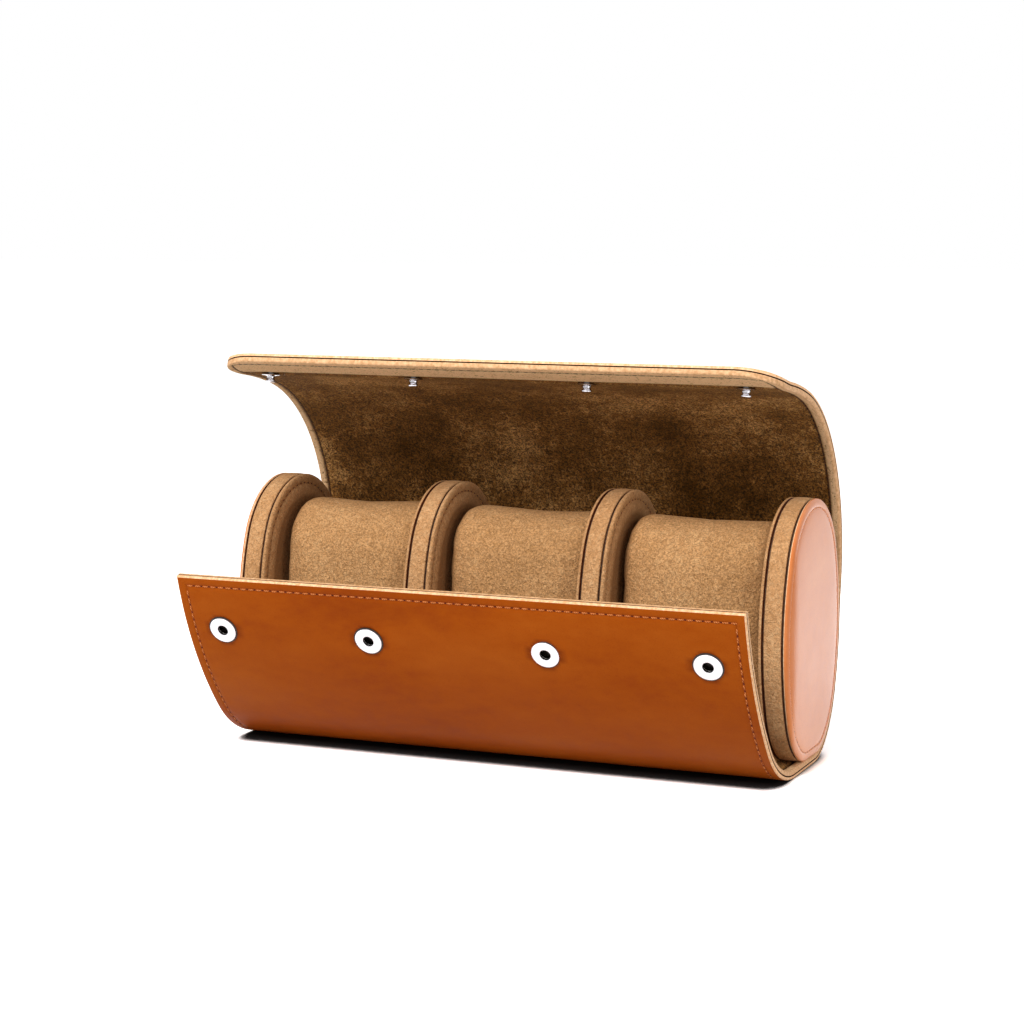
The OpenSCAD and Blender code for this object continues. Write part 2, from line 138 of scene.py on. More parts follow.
class Finish:
    """A material under construction."""

    def __init__(self, name):
        self.material = bpy.data.materials.new(name)
        self.material.use_nodes = True
        self.tree = self.material.node_tree
        self.shader = self.tree.nodes["Principled BSDF"]
        self.place = self.add("ShaderNodeTexCoord").outputs["Object"]

    def add(self, kind, settings=(), **sockets):
        return add_node(self.tree, kind, settings, **sockets)

    def set(self, **sockets):
        """Feeds sockets of the shader."""
        for name, value in sockets.items():
            feed(self.tree, self.shader.inputs[name.replace("_", " ")], value)

    def noise(self, scale, detail=3.0, roughness=0.5, stretch=None, warp=0.0):
        place = self.place
        if stretch:
            place = self.add("ShaderNodeMapping", Vector=place, Scale=stretch).outputs[0]
        return self.add("ShaderNodeTexNoise", Vector=place, Scale=scale, Detail=detail,
                        Roughness=roughness, Distortion=warp).outputs["Fac"]

    def painted(self, name):
        """The amount painted on the piece's points under this name, 0 where there is none."""
        return self.add("ShaderNodeAttribute", {"attribute_name": name}).outputs["Fac"]

    def ramp(self, level, stops):
        node = self.add("ShaderNodeValToRGB", Fac=level)
        marks = node.color_ramp.elements
        while len(marks) < len(stops):
            marks.new(0.5)
        for mark, (at, colour) in zip(marks, stops):
            mark.position = at
            mark.color = colour
        return node.outputs["Color"]

    def blend(self, level, first, second, mode="MIX"):
        node = self.add("ShaderNodeMix", {"data_type": "RGBA", "blend_type": mode})
        for socket, value in ((0, level), (6, first), (7, second)):
            feed(self.tree, node.inputs[socket], value)
        return node.outputs[2]

    def sum(self, first, second, share):
        """first and second mixed, share being how much of the second."""
        node = self.add("ShaderNodeMix", {"data_type": "FLOAT"})
        for socket, value in ((0, share), (2, first), (3, second)):
            feed(self.tree, node.inputs[socket], value)
        return node.outputs[0]

    def bump(self, height, strength, depth, under=None):
        node = self.add("ShaderNodeBump", Height=height, Strength=strength, Distance=depth * MM)
        if under is not None:
            feed(self.tree, node.inputs["Normal"], under)
        return node.outputs["Normal"]


def grey(level):
    return (level, level, level, 1.0)


def dimmed(colour, red, green, blue):
    """The colour with each of its three parts reduced."""
    return (colour[0] * red, colour[1] * green, colour[2] * blue, 1)


def make_leather(name, deep, body, light, gloss, shine):
    """Smooth dyed leather: pores, faint creases, and streaky colour where the dye took.
    It is darker along a row of stitches, and round each socket's ring where a contact shadow is
    painted."""
    f = Finish(name)
    cloud = f.noise(30, 4, 0.55, stretch=(0.45, 1.0, 1.3))
    mottle = f.noise(260, 5, 0.6, stretch=(0.6, 1.0, 1.0))
    pores = f.noise(2300, 3, 0.6)
    crease = f.add("ShaderNodeTexVoronoi", {"feature": "DISTANCE_TO_EDGE"}, Vector=f.place,
                   Scale=700.0).outputs["Distance"]
    colour = f.ramp(f.sum(cloud, mottle, 0.3), [(0.3, deep), (0.5, body), (0.72, light)])
    specks = f.ramp(pores, [(0.3, (0.86, 0.82, 0.78, 1)), (0.46, (1, 1, 1, 1))])
    colour = f.blend(1.0, colour, specks, "MULTIPLY")
    colour = f.blend(f.painted("seam_and_painted_shade"), colour, dimmed(deep, 0.62, 0.55, 0.5))
    f.set(Base_Color=colour)
    f.set(Roughness=f.ramp(f.sum(mottle, pores, 0.4),
                           [(0.3, grey(gloss - 0.05)), (0.7, grey(gloss + 0.1))]))
    fine = f.bump(pores, 0.1, 0.1)
    f.set(Normal=f.bump(f.ramp(crease, [(0.0, grey(0)), (0.07, grey(1))]), 0.04, 0.1,
                        under=f.bump(cloud, 0.15, 1.0, under=fine)))
    f.set(Specular_IOR_Level=shine, Coat_Weight=f.painted("polished"), Coat_IOR=1.5,
          Coat_Roughness=0.25)
    return f.material


def make_suede(name, dark, body, light, crumb, painted_lip_light_and_pale_strip=None, patch=0.4):
    """Short-napped microsuede: fine crumbs, lighter and darker by the share crumb, on patches
    where the nap lies another way. Its fourth colour, where one is given, is a painted light on
    the lip, and the colour of a pale strip outside the seam. It is darker along a row of
    stitches, and where painted shade is laid on it."""
    f = Finish(name)
    nap = f.noise(1700, 2, 0.6, warp=0.8)
    tuft = f.noise(560, 4, 0.6, warp=1.2)
    patches = f.noise(30, 5, 0.6, stretch=(1.0, 1.6, 0.7))
    colour = f.ramp(f.sum(tuft, patches, patch), [(0.38, dark), (0.5, body), (0.62, light)])
    crumbs = f.ramp(nap, [(0.4, grey(1 - crumb)), (0.5, grey(1.0)), (0.6, grey(1 + crumb))])
    colour = f.blend(1.0, colour, crumbs, "MULTIPLY")
    if painted_lip_light_and_pale_strip:
        painted_lip_light_and_strip_colour = f.ramp(f.sum(nap, tuft, 0.5), [(0.34, body), (0.46, painted_lip_light_and_pale_strip)])
        colour = f.blend(f.painted("painted_lip_light_and_pale_strip"), colour, painted_lip_light_and_strip_colour)
    colour = f.blend(f.painted("seam_and_painted_shade"), colour, dimmed(dark, 0.5, 0.45, 0.4))
    f.set(Base_Color=colour, Roughness=0.95, Specular_IOR_Level=MATT, Sheen_Weight=0.18,
          Sheen_Roughness=0.5, Sheen_Tint=light)
    f.set(Normal=f.bump(nap, 0.9, 0.45, under=f.bump(tuft, 0.8, 0.9)))
    return f.material


def make_edge(name, dark, light):
    """A cut edge, burnished and a little uneven."""
    f = Finish(name)
    grain = f.noise(900, 4, 0.6)
    f.set(Base_Color=f.ramp(grain, [(0.35, dark), (0.65, light)]), Roughness=0.6,
          Specular_IOR_Level=MATT)
    f.set(Normal=f.bump(grain, 0.2, 0.15))
    return f.material


def make_thread(name, dark, light):
    """Twisted thread, with a painted highlight on the crown of each turn."""
    f = Finish(name)
    twist = f.add("ShaderNodeTexWave", {"wave_type": "BANDS", "bands_direction": "DIAGONAL"},
                  Vector=f.place, Scale=900.0, Distortion=1.5).outputs["Fac"]
    f.set(Base_Color=f.ramp(f.sum(twist, f.noise(1200), 0.5), [(0.35, dark), (0.65, light)]),
          Roughness=0.6, Specular_IOR_Level=MATT)
    f.set(Normal=f.bump(twist, 0.4, 0.1))
    return f.material


def make_metal(name, colour, roughness, speck):
    """Plated metal with a faint haze, rougher by speck where the haze is thick."""
    f = Finish(name)
    haze = f.noise(700, 3, 0.6)
    f.set(Metallic=1.0, Base_Color=f.ramp(haze, [(0.3, dimmed(colour, 0.86, 0.86, 0.86)),
                                                 (0.7, colour)]))
    f.set(Roughness=f.ramp(haze, [(0.3, grey(roughness)), (0.7, grey(roughness + speck))]))
    return f.material


def make_filling(name, dark, light, scale, depth):
    """Board or foam inside the case, which shows only where a skin is taken off."""
    f = Finish(name)
    cells = f.noise(scale, 5, 0.7)
    f.set(Base_Color=f.ramp(cells, [(0.35, dark), (0.65, light)]), Roughness=0.9)
    f.set(Normal=f.bump(cells, 0.5, depth))
    return f.material


WRAP_LEATHER = make_leather("tan_leather", srgb(138, 56, 2), srgb(158, 72, 5),
                            srgb(170, 84, 16), 0.46, 0.05)
# The caps' leather is the wrap's leather painted lighter: painted light, for the cap that faces
# the right-hand lamp.
PAINTED_LIGHT_CAP_LEATHER = make_leather("cap_leather", srgb(206, 116, 60), srgb(216, 130, 76),
                           srgb(224, 144, 92), 0.42, 0.06)
LEATHER_EDGE = make_edge("leather_edge", srgb(226, 166, 114), srgb(250, 208, 164))
LINING_EDGE = make_edge("lining_edge", srgb(196, 146, 100), srgb(234, 188, 142))
# The lining's last colour is the lip's painted light, also used for the pale strip outside the
# seam.
LINING = make_suede("lining_suede", srgb(80, 48, 10), srgb(126, 84, 38), srgb(188, 140, 84),
                    0.75, srgb(248, 204, 154), patch=0.6)
BAND_SUEDE = make_suede("band_suede", srgb(184, 134, 86), srgb(200, 150, 102),
                        srgb(214, 168, 120), 0.18)
PILLOW_SUEDE = make_suede("pillow_suede", srgb(176, 130, 82), srgb(192, 144, 95),
                          srgb(206, 160, 110), 0.28)
# Painted shade: a dark finish for the seams between parts, for the glued side of the wrap, which
# shows in the gap at its edges, and for the holes of the suede's stitches.
SEAM_SHADOW = make_edge("seam_shadow", srgb(58, 24, 8), srgb(86, 40, 16))
# Painted shade: a dark disc under each leather stitch, for the shade in its needle hole.
NEEDLE_HOLE_SHADE = make_edge("needle_hole_shade", srgb(74, 20, 4), srgb(104, 36, 10))
LEATHER_THREAD = make_thread("leather_thread", srgb(140, 60, 18), srgb(214, 132, 72))
# Painted light: the caps' thread, lighter with their leather.
PAINTED_LIGHT_CAP_THREAD = make_thread("cap_thread", srgb(196, 112, 64), srgb(236, 164, 116))
SUEDE_THREAD = make_thread("suede_thread", srgb(34, 18, 6), srgb(82, 52, 26))
FACING_THREAD = make_thread("facing_thread", srgb(140, 92, 48), srgb(206, 154, 100))
NICKEL = make_metal("nickel", srgb(186, 184, 188), 0.1, 0.06)
STEEL = make_metal("spring_steel", srgb(120, 118, 116), 0.3, 0.1)
# Painted shade: the beds round the socket rings and the cups inside them are dark metal, for the
# shade round and inside each ring.
SOCKET_SHADE = make_metal("socket_painted_shade", srgb(46, 42, 40), 0.35, 0.1)
BOARD = make_filling("grey_board", srgb(120, 108, 90), srgb(158, 144, 122), 500, 0.2)
FOAM = make_filling("white_foam", srgb(196, 190, 172), srgb(228, 224, 210), 900, 0.4)


# --- Lines across the case ---

def part_ends(parts):
    """Length and turn so far at each end of the (length, turn) parts of a line."""
    ends, bends = [0.0], [0.0]
    for length, turn in parts:
        ends.append(ends[-1] + length)
        bends.append(bends[-1] + turn)
    return ends, bends


def walk(s, h):
    """Points of a line from (0, 0), by the distances s and the headings h along it."""
    half = (h[1:] + h[:-1]) / 2
    ds = np.diff(s)
    return (np.concatenate([[0], np.cumsum(np.cos(half) * ds)]),
            np.concatenate([[0], np.cumsum(np.sin(half) * ds)]))


def trace(start, heading, parts, step=0.05):
    """Follows a line made of (length, turn) parts in the plane across the case, turns to the
    left being positive. Returns the distance along it, the points and the headings."""
    ends, bends = part_ends(parts)
    count = max(2, int(round(ends[-1] / step)) + 1)
    s = np.linspace(0.0, ends[-1], count)
    h = np.radians(heading + np.interp(s, ends, bends))
    y, z = walk(s, h)
    return s, start[0] + y, start[1] + z, h


def arc(radius, turn):
    """A part of a line with this radius and turn."""
    return (radius * math.radians(turn), turn)


class Line:
    """A line across the case, looked up by the distance along it."""

    def __init__(self, s, y, z, h):
        self.s, self.y, self.z, self.h = s, y, z, h

    def at(self, s, out=0.0):
        """The point at s, moved by out to the right of the way, which is outwards."""
        h = np.interp(s, self.s, self.h)
        y = np.interp(s, self.s, self.y) + out * np.sin(h)
        z = np.interp(s, self.s, self.z) - out * np.cos(h)
        return y, z

    def spot(self, s):
        """The point at s in space, in metres, halfway along the case."""
        y, z = self.at(s)
        return (0.0, float(y) * MM, float(z) * MM)


# Outline of a disc, from the middle of its foot round to the same place: half its depth and
# half its height, the radii of its round parts, the cut at its foot and the foot's height
DISC_HALF = 32.0
DISC_B = 44.5
DISC_ROUND = 29.0
FOOT_CUT = 1.5
FOOT_ROUND = 18.0
FOOT_Z = 3.1
DISC_Z = FOOT_Z + DISC_B - FOOT_CUT


def side_radius(a, b, r):
    """Radius of the flat sides of an oval a by b, measured from its middle, whose ends have
    the radius r."""
    return (a * a + (b - r) ** 2 - r * r) / (2 * (a - r))


def side_turn(a, b, r):
    """How far such a side turns from its middle to where the round end starts."""
    return math.degrees(math.atan2(b - r, side_radius(a, b, r) - a))


SIDE_R = side_radius(DISC_HALF, DISC_B, DISC_ROUND)
SIDE_TURN = side_turn(DISC_HALF, DISC_B, DISC_ROUND)
FOOT_TURN = math.degrees(math.acos((DISC_ROUND - FOOT_CUT - FOOT_ROUND)
                                   / (DISC_ROUND - FOOT_ROUND)))
FOOT_HALF = (DISC_ROUND - FOOT_ROUND) * math.sin(math.radians(FOOT_TURN))
DISC_SIDE = [(FOOT_HALF, 0.0), arc(FOOT_ROUND, FOOT_TURN),
             arc(DISC_ROUND, 90 - SIDE_TURN - FOOT_TURN), arc(SIDE_R, SIDE_TURN),
             arc(SIDE_R, SIDE_TURN), arc(DISC_ROUND, 90 - SIDE_TURN)]
DISC_LINE = Line(*trace((0.0, FOOT_Z), 0.0, DISC_SIDE + DISC_SIDE[::-1]))
DISC_GIRTH = DISC_LINE.s[-1]

# The wrap's middle line, from the flap's top edge under the case and up to the lip, as
# (length, turn) parts. A kink is a part with a turn and next to no length.
WRAP_HALF = 1.5
GLUE = 0.1
WRAP_MID = GLUE + WRAP_HALF
FLAP_REACH = 18.1
FLAP_FOLD = (-FLAP_REACH, WRAP_HALF)
FLAP_UPPER = (56.4, 25.2)
FLAP_LOWER = arc(38.4, 48.9)
FLOOR = (FLAP_REACH + FOOT_HALF, 0.0)
LID_FOLD_RISE = 3.2
BACK = [arc(FOOT_ROUND + WRAP_MID, FOOT_TURN),
        arc(DISC_ROUND + WRAP_MID, 90 - SIDE_TURN - FOOT_TURN),
        arc(SIDE_R + WRAP_MID, SIDE_TURN + LID_FOLD_RISE)]
LID_START = 75.0
LID_REAR = (53.5, 49.0)
LID_TOP = (42.4, 40.0)
STUD_REACH = 24.0
LID_FRONT = (30.0, 12.5)
LIP = (10.5, 0.0)
KINK = 1e-6
LID_KINK = (KINK, LID_START - (90.0 + LID_FOLD_RISE))
LIP_KINK = (KINK, -22.0)

# Places of the snaps along the case, and of the sockets in from the flap's top edge
SNAP_X = (-86.0, -31.4, 31.4, 86.0)
SOCKET_BACK = 19.5


def wrap_line(creases=(("lid", 5.0), ("lip", 11.0))):
    """The middle line with its two creases eased, and the distance of each fold along it."""
    parts = [FLAP_UPPER, FLAP_LOWER, FLOOR] + BACK
    marks = {"drop": FLAP_UPPER[0], "flap": FLAP_UPPER[0] + FLAP_LOWER[0]}
    marks["lid"] = sum(length for length, _ in parts)
    parts += [LID_KINK, LID_REAR, LID_TOP, LID_FRONT, LIP_KINK, LIP]
    marks["crown"] = marks["lid"] + LID_REAR[0]
    marks["brow"] = marks["crown"] + LID_TOP[0]
    marks["stud"] = marks["brow"] + STUD_REACH
    marks["lip"] = marks["brow"] + LID_FRONT[0]
    marks["end"] = marks["lip"] + LIP[0]
    ends, bends = part_ends(parts)
    s = np.linspace(0.0, ends[-1], 4 * int(ends[-1]) + 1)
    bend = np.interp(s, ends, bends)
    for mark, reach in creases:
        near = np.abs(s - marks[mark]) < reach
        edge = np.array([marks[mark] - reach, marks[mark] + reach])
        bend[near] = np.interp(s[near], edge, np.interp(edge, ends, bends))
    h = np.radians(-FLAP_UPPER[1] - FLAP_LOWER[1] + bend)
    y, z = walk(s, h)
    y += FLAP_FOLD[0] - np.interp(marks["flap"], s, y)
    z += FLAP_FOLD[1] - np.interp(marks["flap"], s, z)
    return Line(s, y, z, h), marks


WRAP, FOLD = wrap_line()
SHARP_WRAP = wrap_line(())[0]


# --- Building pieces ---

def flat_grid(name, across, along):
    """A flat grid with this many lines across and along it."""
    bpy.ops.mesh.primitive_grid_add(x_subdivisions=across - 1, y_subdivisions=along - 1, size=2)
    piece = bpy.context.object
    piece.name = name
    piece.data.name = name
    return piece


def grid_numbers(piece, across, along):
    """The column and the row of each point of such a grid, and its flat place."""
    flat = read_points(piece)
    column = np.rint((flat[:, 0] + 1) / 2 * (across - 1)).astype(int)
    row = np.rint((flat[:, 1] + 1) / 2 * (along - 1)).astype(int)
    return column, row, flat


def read_points(piece):
    points = np.empty(len(piece.data.vertices) * 3)
    piece.data.vertices.foreach_get("co", points)
    return points.reshape(-1, 3)


def write_points(piece, points):
    piece.data.vertices.foreach_set("co", np.asarray(points, float).ravel())
    piece.data.update()


def pick(piece):
    """Selects this piece alone."""
    bpy.ops.object.select_all(action="DESELECT")
    piece.select_set(True)
    bpy.context.view_layer.objects.active = piece


@contextlib.contextmanager
def edit_mode():
    """The active piece is in edit mode for as long as the block lasts."""
    bpy.ops.object.mode_set(mode="EDIT")
    yield
    bpy.ops.object.mode_set(mode="OBJECT")


def close_up(piece, gap=0.002):
    """Merges what meets, and turns every face outwards."""
    pick(piece)
    with edit_mode():
        bpy.ops.mesh.select_all(action="SELECT")
        bpy.ops.mesh.remove_doubles(threshold=gap * MM)
        bpy.ops.mesh.dissolve_degenerate(threshold=gap * MM)
        bpy.ops.mesh.select_all(action="SELECT")
        bpy.ops.mesh.normals_make_consistent(inside=False)


def smooth(piece, angle):
    """Shades the piece smooth, except along edges sharper than the angle."""
    pick(piece)
    bpy.ops.object.shade_smooth_by_angle(angle=math.radians(angle))


def dress(piece, *materials):
    """Gives the piece its materials. Its faces keep the material numbers they have."""
    if len(piece.data.materials):
        piece.data.materials.clear()
    for material in materials:
        piece.data.materials.append(material)


def settle(piece, body, stands_for=()):
    """Rides the piece on a body; where body is a fold's (a, b, start, end), the piece only keeps
    its place.
    """
    if isinstance(body, str):
        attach(piece, body)
    else:
        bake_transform(piece)
    if stands_for:
        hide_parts(*stands_for)


def paint(piece, name, amounts):
    """Puts an amount on each point of the piece, for its material to read."""
    layer = piece.data.attributes.new(name, "FLOAT", "POINT")
    layer.data.foreach_set("value", np.asarray(amounts, np.float32))


def copies(name, model, places):
    """Copies of the model, each moved by (origin, 3x3 axes), joined into one piece."""
    bpy.ops.object.select_all(action="DESELECT")
    base = read_points(model)
    for origin, axes in places:
        copy = model.copy()
        copy.data = model.data.copy()
        bpy.context.scene.collection.objects.link(copy)
        write_points(copy, base @ np.asarray(axes).T + np.asarray(origin))
        copy.select_set(True)
    bpy.context.view_layer.objects.active = copy
    bpy.data.objects.remove(model)
    bpy.ops.object.join()
    piece = bpy.context.object
    piece.name = name
    piece.data.name = name
    return piece


# --- The wrap ---

CASE_HALF = 100.0
STITCH_IN = 3.3
STITCH_PITCH = 2.9
LIP_CORNER = 14.0

# Distances in from an edge of the wrap at which its grid has a line, how far apart the lines
# are past them along the wrap, and round a snap: how far from its middle, and how far apart
EDGE_LINES = [0.0, 0.06, 0.2, 0.45, 0.8, 1.3, 1.9, 2.5, 2.9, 3.15, 3.3, 3.45, 3.7, 4.2, 5.2, 7.0]
LINE_STEP = 1.6
SNAP_LINES = 4.8
SNAP_LINE_STEP = 0.8

# How the leather and the lining lie: the round of the edge, how deep a row of stitches draws
# them in, and how far they swell between that row and the edge
LEATHER_LIE = (0.5, 0.2, 0.06)
LINING_LIE = (0.7, 0.34, 0.16)

# How much darker the leather and the lining are along the row of stitches, and how wide the cut
# edge shows
LEATHER_SEWN, LEATHER_CUT = 0.4, 0.5
LINING_SEWN, LINING_CUT = 0.85, 0.85

# Where the two meet inside the wrap, and how far a socket sinks into the lining
LEATHER_BACK = 0.32
LINING_BACK = 0.24
SOCKET_SINK = 1.1

# Radius of the hole under a socket's ring, how much further out the hole's steps can reach, and
# the radius of the painted contact shadow round the ring
SOCKET_HOLE = 3.4
HOLE_STEPS = 2.0
SOCKET_SHADOW_RADIUS = 5.0

# The slow waves of the free flap and lid: how high they are, how far past the lid's fold they
# start, over how much of the sheet they grow, and how near the studs they fade
WAVES = 0.9
WAVES_START = 8.0
WAVES_GROW = 20.0
WAVES_FADE = 7.0

# Numbers of a sheet's materials: its face, its cut edge and its glued side
FACE, CUT, GLUED = 0, 1, 2

# Length, width and height of a stitch, and the radius of its needle hole
LEATHER_STITCH = (2.3, 0.7, 0.5, 0.42)
SUEDE_STITCH = (2.3, 0.8, 0.5, 0.36)
CAP_STITCH = (2.3, 0.6, 0.4, 0.3)
FACING_STITCH = (1.8, 0.8, 0.6, 0.6)

# How far ahead a stitch looks for its direction, and how far it stands out of the sheet
AHEAD = 0.4
STITCH_OUT = 0.1


def with_lines_near(lines, marks):
    """The lines, set closer round each mark, where a snap goes through."""
    lines = np.asarray(lines)
    for mark in marks:
        lines = lines[np.abs(lines - mark) > SNAP_LINES + SNAP_LINE_STEP / 2]
        closer = np.arange(mark - SNAP_LINES, mark + SNAP_LINES + 0.01, SNAP_LINE_STEP)
        lines = np.concatenate([lines, closer])
    return np.sort(lines)


def lines_across(marks):
    """Places of the grid's lines along the case, closer near its two ends and the marks."""
    left = [-CASE_HALF + e for e in EDGE_LINES]
    middle = with_lines_near(np.linspace(-90.0, 90.0, 61), marks)
    return np.array([x for x in left if x < middle[0] - 0.3] + list(middle)
                    + [-x for x in reversed(left) if -x > middle[-1] + 0.3])


def lines_along(first, last, edge_first, edge_last, marks):
    """Places of the grid's lines along the wrap, closer near its edges and the marks."""
    start = [first + e for e in EDGE_LINES] if edge_first else [first]
    end = [last - e for e in reversed(EDGE_LINES)] if edge_last else [last]
    count = max(2, int((end[0] - start[-1]) / LINE_STEP))
    middle = np.linspace(start[-1], end[0], count + 1)[1:-1]
    middle = with_lines_near(middle, [m for m in marks if start[-1] + 6 < m < end[0] - 6])
    return np.array(start + list(middle) + end)


def edge_distance(x, s):
    """Distance in from the nearest outer edge of the wrap, in mm."""
    return np.minimum(CASE_HALF - np.abs(x), np.minimum(s, FOLD["end"] - s))


def socket_distance(x, s):
    """Distance from the middle of the nearest socket, in mm."""
    return np.min([np.hypot(x - at, s - SOCKET_BACK) for at in SNAP_X], axis=0)


def rounded(e, radius):
    """How far a surface has dropped at e from an edge that is rounded."""
    inner = np.clip(radius - e, 0.0, radius)
    return radius - np.sqrt(np.maximum(radius * radius - inner * inner, 0.0))


def round_lip_corners(x, s):
    """Draws the wrap's two corners at the lip into quarter circles."""
    r = LIP_CORNER
    a = np.clip(np.abs(x) - (CASE_HALF - r), 0.0, r)
    b = np.clip(s - (FOLD["end"] - r), 0.0, r)
    new_a = a * np.sqrt(1 - b * b / (2 * r * r))
    new_b = b * np.sqrt(1 - a * a / (2 * r * r))
    return x + np.sign(x) * (new_a - a), s + new_b - b


def ripple(x, s):
    """The slow waves that a stitched sheet of leather has, in mm."""
    return (0.22 * np.sin(x / 23.0 + s / 41.0) * np.sin(s / 19.0 + 1.3)
            + 0.12 * np.sin(x / 11.0 - s / 17.0 + 0.7))


def pucker(x, s):
    """Folds in the lining beside each stud, and the crease that joins them."""
    along = s - FOLD["stud"]
    crease = 0.5 * np.exp(-((along - 1.2) / 1.6) ** 2)
    beside = np.zeros_like(x)
    for at in SNAP_X:
        away = np.abs(x - at)
        reach = np.exp(-((away - 6.5) / 4.0) ** 2)
        fan = 0.35 * np.sin((along + 0.12 * away) * 1.9)
        beside += reach * (fan * np.exp(-(along / 5.0) ** 2))
    return crease + beside


def sheet_place(x, s, inner, layer):
    """Place in space of a point of the leather (layer 1) or of the lining (layer 0)."""
    e = edge_distance(x, s)
    row = np.exp(-((e - STITCH_IN) / 0.45) ** 2)
    puff = np.sin(np.clip(e / STITCH_IN, 0.0, 1.0) * math.pi)
    far = np.clip((e - STITCH_IN) / 8.0, 0.0, 1.0)
    edge, drawn, swell = LEATHER_LIE if layer else LINING_LIE
    if layer:
        out_face = WRAP_HALF - rounded(e, edge) - drawn * row + swell * puff
        in_face = LEATHER_BACK + 0.18 * np.exp(-(e / 0.8) ** 2)
    else:
        in_face = (-WRAP_HALF + rounded(e, edge) + drawn * row - swell * puff
                   + far * pucker(x, s) * (s > FOLD["brow"]))
        out_face = (LINING_BACK - 0.2 * np.exp(-(e / 0.8) ** 2)
                    - SOCKET_SINK * np.clip((4.0 - socket_distance(x, s)) / 0.8, 0.0, 1.0))
    d = np.where(inner, in_face, out_face) + far * ripple(x, s) * wave_height(s)
    x, s = round_lip_corners(x, s)
    y, z = WRAP.at(s, d)
    return np.column_stack([x, y, z]) * MM


def wave_height(s):
    """How much of the slow waves there is at s: none where the wrap is glued or rests on the
    table, nor at the studs."""
    flap = np.clip((FOLD["drop"] - s) / WAVES_GROW, 0.0, 1.0)
    lid = np.clip((s - FOLD["lid"] - WAVES_START) / WAVES_GROW, 0.0, 1.0)
    return WAVES * np.maximum(flap, lid) * (1 - np.exp(-((s - FOLD["stud"]) / WAVES_FADE) ** 2))


def pierce(piece, x, s):
    """Opens a hole through the sheet under each socket's ring, and closes the hole's wall."""
    mesh = piece.data
    gone = []
    for polygon in mesh.polygons:
        corners = list(polygon.vertices)
        away = socket_distance(x[corners].mean(), s[corners].mean())
        gone.append(bool(away < SOCKET_HOLE))
    with edit_mode():
        bpy.ops.mesh.select_all(action="DESELECT")
        bpy.ops.mesh.select_mode(type="FACE")
    mesh.polygons.foreach_set("select", gone)
    with edit_mode():
        bpy.ops.mesh.delete(type="ONLY_FACE")
    used = {}
    for polygon in mesh.polygons:
        for key in polygon.edge_keys:
            used[key] = used.get(key, 0) + 1
    for m in SNAP_X:
        with edit_mode():
            bpy.ops.mesh.select_mode(type="EDGE")
            bpy.ops.mesh.select_all(action="DESELECT")
        for edge in mesh.edges:
            a, b = edge.vertices
            away = math.hypot((x[a] + x[b]) / 2 - m, (s[a] + s[b]) / 2 - SOCKET_BACK)
            edge.select = away < SOCKET_HOLE + HOLE_STEPS and used.get(edge.key, 0) == 1
        with edit_mode():
            bpy.ops.mesh.bridge_edge_loops()
    with edit_mode():
        bpy.ops.mesh.select_mode(type="VERT")
        bpy.ops.mesh.select_all(action="SELECT")
        bpy.ops.mesh.delete_loose(use_verts=True, use_edges=True, use_faces=False)


def number_faces(piece, inner, e, layer):
    """Gives each face of a sheet the number of its material: face, cut edge or glued side."""
    kinds = []
    cut = LEATHER_CUT if layer else LINING_CUT
    for polygon in piece.data.polygons:
        corners = list(polygon.vertices)
        sides = inner[corners]
        wall = sides.any() and not sides.all()
        glued = not wall and sides[0] == bool(layer)
        rim = wall or e[corners].max() < cut
        kinds.append(GLUED if glued else CUT if rim else FACE)
    piece.data.polygons.foreach_set("material_index", kinds)


def wrap_sheet(name, first, last, layer, edge_first, edge_last):
    """A stretch of the wrap's leather or lining: a flat grid with a thickness, then rolled."""
    snapped = first == 0.0
    across = lines_across(SNAP_X if snapped else ())
    along = lines_along(first, last, edge_first, edge_last, (SOCKET_BACK,) if snapped else ())
    piece = flat_grid(name, len(across), len(along))
    thicken = piece.modifiers.new("thickness", "SOLIDIFY")
    thicken.thickness = 1.0
    thicken.offset = -1.0
    bpy.ops.object.modifier_apply(modifier="thickness")
    column, row, flat = grid_numbers(piece, len(across), len(along))
    inner = flat[:, 2] < -0.5
    x, s = across[column], along[row]
    write_points(piece, sheet_place(x, s, inner, layer))
    e = edge_distance(x, s)
    # Darker along the row of stitches; on the leather also a painted contact shadow round each
    # socket's ring.
    seam_and_painted_shade = np.exp(-((e - STITCH_IN) / 0.4) ** 2) * (inner != bool(layer))
    seam_and_painted_shade *= LEATHER_SEWN if layer else LINING_SEWN
    if snapped and layer:
        painted_gap_shade = np.exp(-((socket_distance(x, s) - SOCKET_SHADOW_RADIUS) / 0.5) ** 2)
        seam_and_painted_shade = np.maximum(seam_and_painted_shade, 0.9 * painted_gap_shade)
    paint(piece, "seam_and_painted_shade", seam_and_painted_shade)
    # The lining is painted lighter on the lip, as painted light, and on a pale strip outside the
    # seam.
    if not layer:
        paint(piece, "painted_lip_light_and_pale_strip", lip_painted_light_and_strip(s, e))
    number_faces(piece, inner, e, layer)
    if snapped and layer:
        pierce(piece, x, s)
    close_up(piece, 0.0005)
    smooth(piece, 50)
    if layer:
        dress(piece, WRAP_LEATHER, LEATHER_EDGE, SEAM_SHADOW)
    else:
        dress(piece, LINING, LINING_EDGE, SEAM_SHADOW)
    return piece


def lip_painted_light_and_strip(s, e):
    """Where the lining is painted lighter: a painted light on the lip, and a pale strip outside
    the seam.
    """
    lip = np.clip((s - FOLD["stud"] - 1.0) / 3.0, 0.0, 1.0)
    strip = 0.9 * np.clip((STITCH_IN - 0.2 - e) / 0.8, 0.0, 1.0)
    return np.maximum(lip * lip * (3 - 2 * lip), strip)


